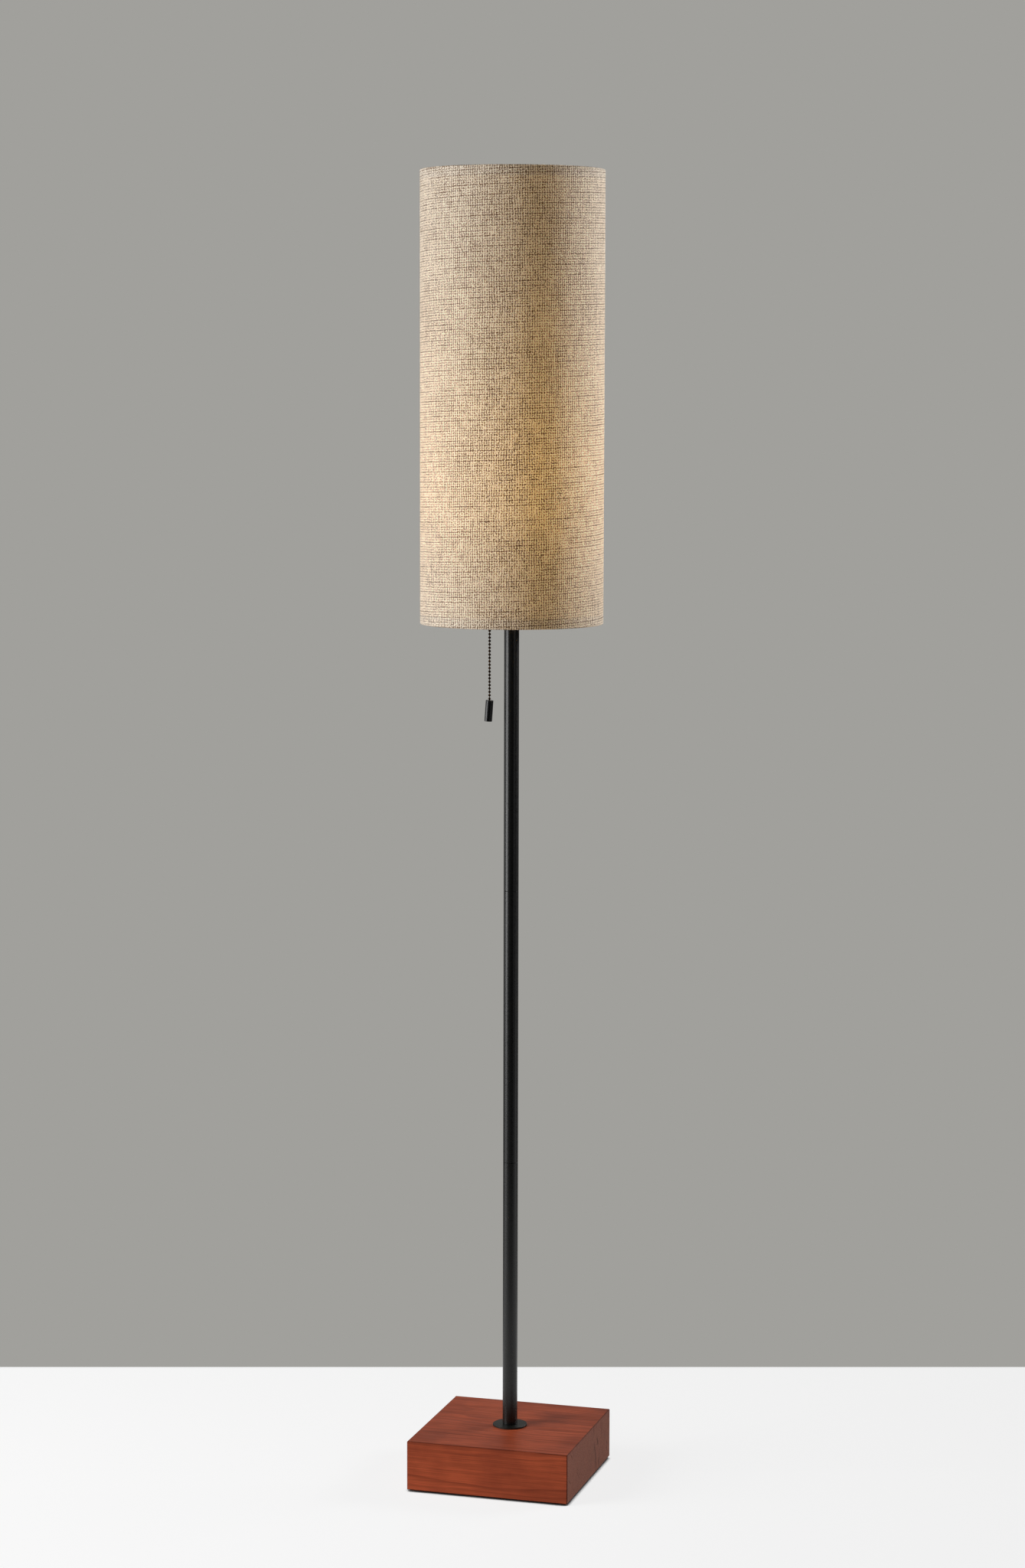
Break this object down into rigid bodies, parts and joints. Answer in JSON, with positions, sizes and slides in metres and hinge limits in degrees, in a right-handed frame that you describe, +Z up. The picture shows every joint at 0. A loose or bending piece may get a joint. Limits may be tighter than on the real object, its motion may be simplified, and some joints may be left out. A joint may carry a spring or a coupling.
{
  "type": "floor lamp",
  "caption": "Column floor lamp: square wooden base, slim three-section pole, tall tube shade of woven fabric on a ring fitter, pull-chain switch and screw-in bulb.",
  "frame": {"origin": "on the floor under the centre of the base, on the axis of the pole", "axes": "+Z up along the pole, -Y towards the front of the block, -X towards the side where the chain hangs, +Y towards the cord inlet"},
  "size_m": [0.218, 0.2178, 1.575],
  "materials": {
    "felt": "dense black felt",
    "cover_paint": "matt",
    "cast_iron": "as cast",
    "stained_wood": "satin lacquer",
    "black_nylon": "moulded",
    "black_paint": "satin powder coat",
    "zinc_steel": "zinc plated",
    "black_phenolic": "moulded",
    "brass": "pressed",
    "black_chain": "black nickel",
    "knob_black": "satin",
    "vulcanised_fibre": "pressed fibre",
    "liner": "translucent",
    "shade_fabric": "slubbed plain weave",
    "opal_glass": "opal",
    "bulb_insulator": "black vitrite",
    "nickel": "nickel plated",
    "solder": "solder",
    "wire_insulation": "extruded",
    "splice_nylon": "natural nylon"
  },
  "bodies": {
    "lamp": {"feet": "felt", "base_cover": "cover_paint", "cover_screws": "zinc_steel", "base_weight": "cast_iron", "base_block": "stained_wood", "cord_bushing": "black_nylon", "base_flange": "black_paint", "base_nipple": "zinc_steel", "base_washer": "zinc_steel", "base_lock_washer": "zinc_steel", "base_nut": "zinc_steel", "pole_lower": "black_paint", "pole_middle": "black_paint", "pole_upper": "black_paint", "tube_inserts": "zinc_steel", "seam_nipples": "zinc_steel", "pole_cap": "black_paint", "socket_nipple": "zinc_steel", "socket_lock_nut": "zinc_steel", "socket_cap": "black_phenolic", "terminal_tabs": "brass", "terminal_screws": "brass", "switch_body": "black_phenolic", "switch_contacts": "brass", "drum_pin": "zinc_steel", "chain_guide": "black_chain", "socket_shell": "black_phenolic", "socket_insulator": "vulcanised_fibre", "screw_shell": "brass", "centre_contact": "brass", "shade_fitter": "black_paint", "shade_ring_nut": "black_phenolic", "shade_top_ring": "black_paint", "shade_liner": "liner", "shade_fabric": "shade_fabric", "inner_lead": "wire_insulation", "splice_caps": "splice_nylon"},
    "switch_drum": {"switch_drum": "black_chain"},
    "chain_slider": {"chain_lead": "black_chain"},
    "chain_yoke": {"chain_pivot_bead": "black_chain"},
    "upper_chain": {"chain_upper": "black_chain"},
    "lower_chain": {"chain_lower": "black_chain"},
    "knob": {"chain_knob": "knob_black", "knob_cap": "knob_black"},
    "bulb_foot": {"bulb_contact": "solder"},
    "bulb": {"bulb_insulator": "bulb_insulator", "bulb_cap": "nickel", "bulb_glass": "opal_glass"}
  },
  "joints": [
    {"name": "chain_pull", "type": "slide", "parent": "lamp", "child": "chain_slider", "axis": [0, 0, -1], "range_m": [0, 0.009], "stiffness_N_per_m": 300, "springref_m": -0.004},
    {"name": "drum_turn", "type": "hinge", "parent": "lamp", "child": "switch_drum", "pos_m": [-0.002, 0, 1.08427], "axis": [0, -1, 0], "range_deg": [0, 90]},
    {"name": "chain_swing_out", "type": "hinge", "parent": "chain_slider", "child": "chain_yoke", "pos_m": [-0.0274, 0, 1.0734], "axis": [0, 1, 0], "range_deg": [-3.5, 40]},
    {"name": "chain_swing_side", "type": "hinge", "parent": "chain_yoke", "child": "upper_chain", "pos_m": [-0.0274, 0, 1.0734], "axis": [1, 0, 0], "range_deg": [-30, 30]},
    {"name": "chain_bend", "type": "hinge", "parent": "upper_chain", "child": "lower_chain", "pos_m": [-0.0274, 0, 1.0125], "axis": [0, 1, 0], "range_deg": [-1.5, 35]},
    {"name": "knob_swing", "type": "hinge", "parent": "lower_chain", "child": "knob", "pos_m": [-0.0274, 0, 0.94754], "axis": [0, 1, 0], "range_deg": [-8, 12]},
    {"name": "bulb_lift", "type": "slide", "parent": "lamp", "child": "bulb_foot", "axis": [0, 0, 1], "range_m": [0, 0.01814]},
    {"name": "bulb_unscrew", "type": "hinge", "parent": "bulb_foot", "child": "bulb", "pos_m": [0, 0, 1.15], "axis": [0, 0, 1], "range_deg": [0, 1800]}
  ],
  "couplings": [
    {"joint": "drum_turn", "follows": "chain_pull", "rad_per_m": 174.53},
    {"joint": "bulb_unscrew", "follows": "bulb_lift", "rad_per_m": 1731.6}
  ]
}
